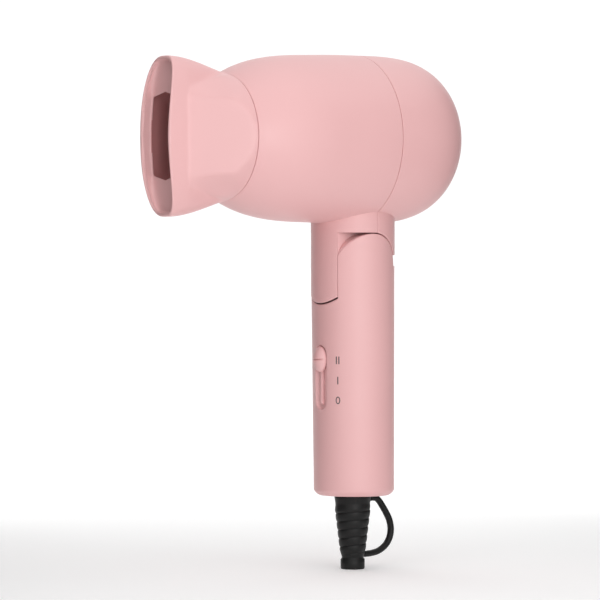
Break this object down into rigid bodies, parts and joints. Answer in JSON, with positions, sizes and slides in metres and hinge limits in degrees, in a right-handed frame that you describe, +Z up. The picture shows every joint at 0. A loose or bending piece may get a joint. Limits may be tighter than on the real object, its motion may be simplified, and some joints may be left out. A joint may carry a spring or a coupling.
{
  "type": "folding hair dryer",
  "caption": "Compact travel hair dryer with a round barrel, tall concentrator nozzle, forward-folding handle, sliding switch and a ribbed cord sleeve with hang loop.",
  "frame": {"origin": "middle of the bottom of the object's box, under the barrel, level with the lower end of the cord sleeve", "axes": "+Z up along the handle, nozzle towards -X, rear air inlet towards +X, hinge axis along Y"},
  "size_m": [0.1576, 0.076, 0.2327],
  "materials": {
    "pink_shell": "satin moulded",
    "black_rubber": "matte",
    "dark_plastic": "matte",
    "white_nylon": "matte",
    "mica": "pressed sheet",
    "heating_wire": "drawn wire",
    "brass": "stamped",
    "lead_insulation": "smooth",
    "steel": "zinc plated"
  },
  "bodies": {
    "barrel": {"barrel_housing": "pink_shell", "rear_cover": "pink_shell", "inlet_grille": "pink_shell", "inlet_screen": "steel", "outlet_grille": "dark_plastic", "hinge_bush_left": "white_nylon", "hinge_bush_right": "white_nylon", "motor_can": "steel", "motor_mount": "dark_plastic", "heater_board_upright": "mica", "heater_board_level": "mica", "heating_coil_front": "heating_wire", "heating_coil_rear": "heating_wire", "mica_liner": "mica", "thermostat": "steel", "thermal_fuse": "steel", "diode_1": "dark_plastic", "diode_2": "dark_plastic", "diode_3": "dark_plastic", "diode_4": "dark_plastic", "lead_neutral_upper": "lead_insulation", "lead_low_upper": "lead_insulation", "lead_high_upper": "lead_insulation", "neck_screw": "steel"},
    "snap_ring": {"nozzle_snap_ring": "steel"},
    "nozzle": {"concentrator_nozzle": "pink_shell"},
    "fan": {"fan_impeller": "dark_plastic", "motor_shaft": "steel"},
    "handle": {"handle_shell": "pink_shell", "handle_back_cover": "pink_shell", "switch_body": "dark_plastic", "switch_terminal_1": "brass", "switch_terminal_2": "brass", "switch_terminal_3": "brass", "strain_relief": "black_rubber", "cord_clamp": "white_nylon", "clamp_screw_1": "steel", "clamp_screw_2": "steel", "hinge_pin_left": "steel", "hinge_pin_right": "steel", "lead_neutral_lower": "lead_insulation", "lead_low_lower": "lead_insulation", "lead_high_lower": "lead_insulation", "handle_screw_1": "steel", "handle_screw_2": "steel"},
    "switch": {"switch_knob": "pink_shell", "switch_carrier": "white_nylon"}
  },
  "joints": [
    {"name": "handle_fold", "type": "hinge", "parent": "barrel", "child": "handle", "pos_m": [0.0265, 0, 0.1375], "axis": [0, 1, 0], "range_deg": [0, 90]},
    {"name": "nozzle_pull", "type": "slide", "parent": "barrel", "child": "snap_ring", "axis": [-1, 0, 0], "range_m": [0, 0.03]},
    {"name": "nozzle_turn", "type": "hinge", "parent": "snap_ring", "child": "nozzle", "pos_m": [-0.0396, 0, 0.1947], "axis": [1, 0, 0], "continuous": true},
    {"name": "switch_slide", "type": "slide", "parent": "handle", "child": "switch", "axis": [0, 0, 1], "range_m": [-0.0166, 0]},
    {"name": "fan_spin", "type": "hinge", "parent": "barrel", "child": "fan", "pos_m": [0.0506, 0, 0.1947], "axis": [1, 0, 0], "continuous": true}
  ]
}
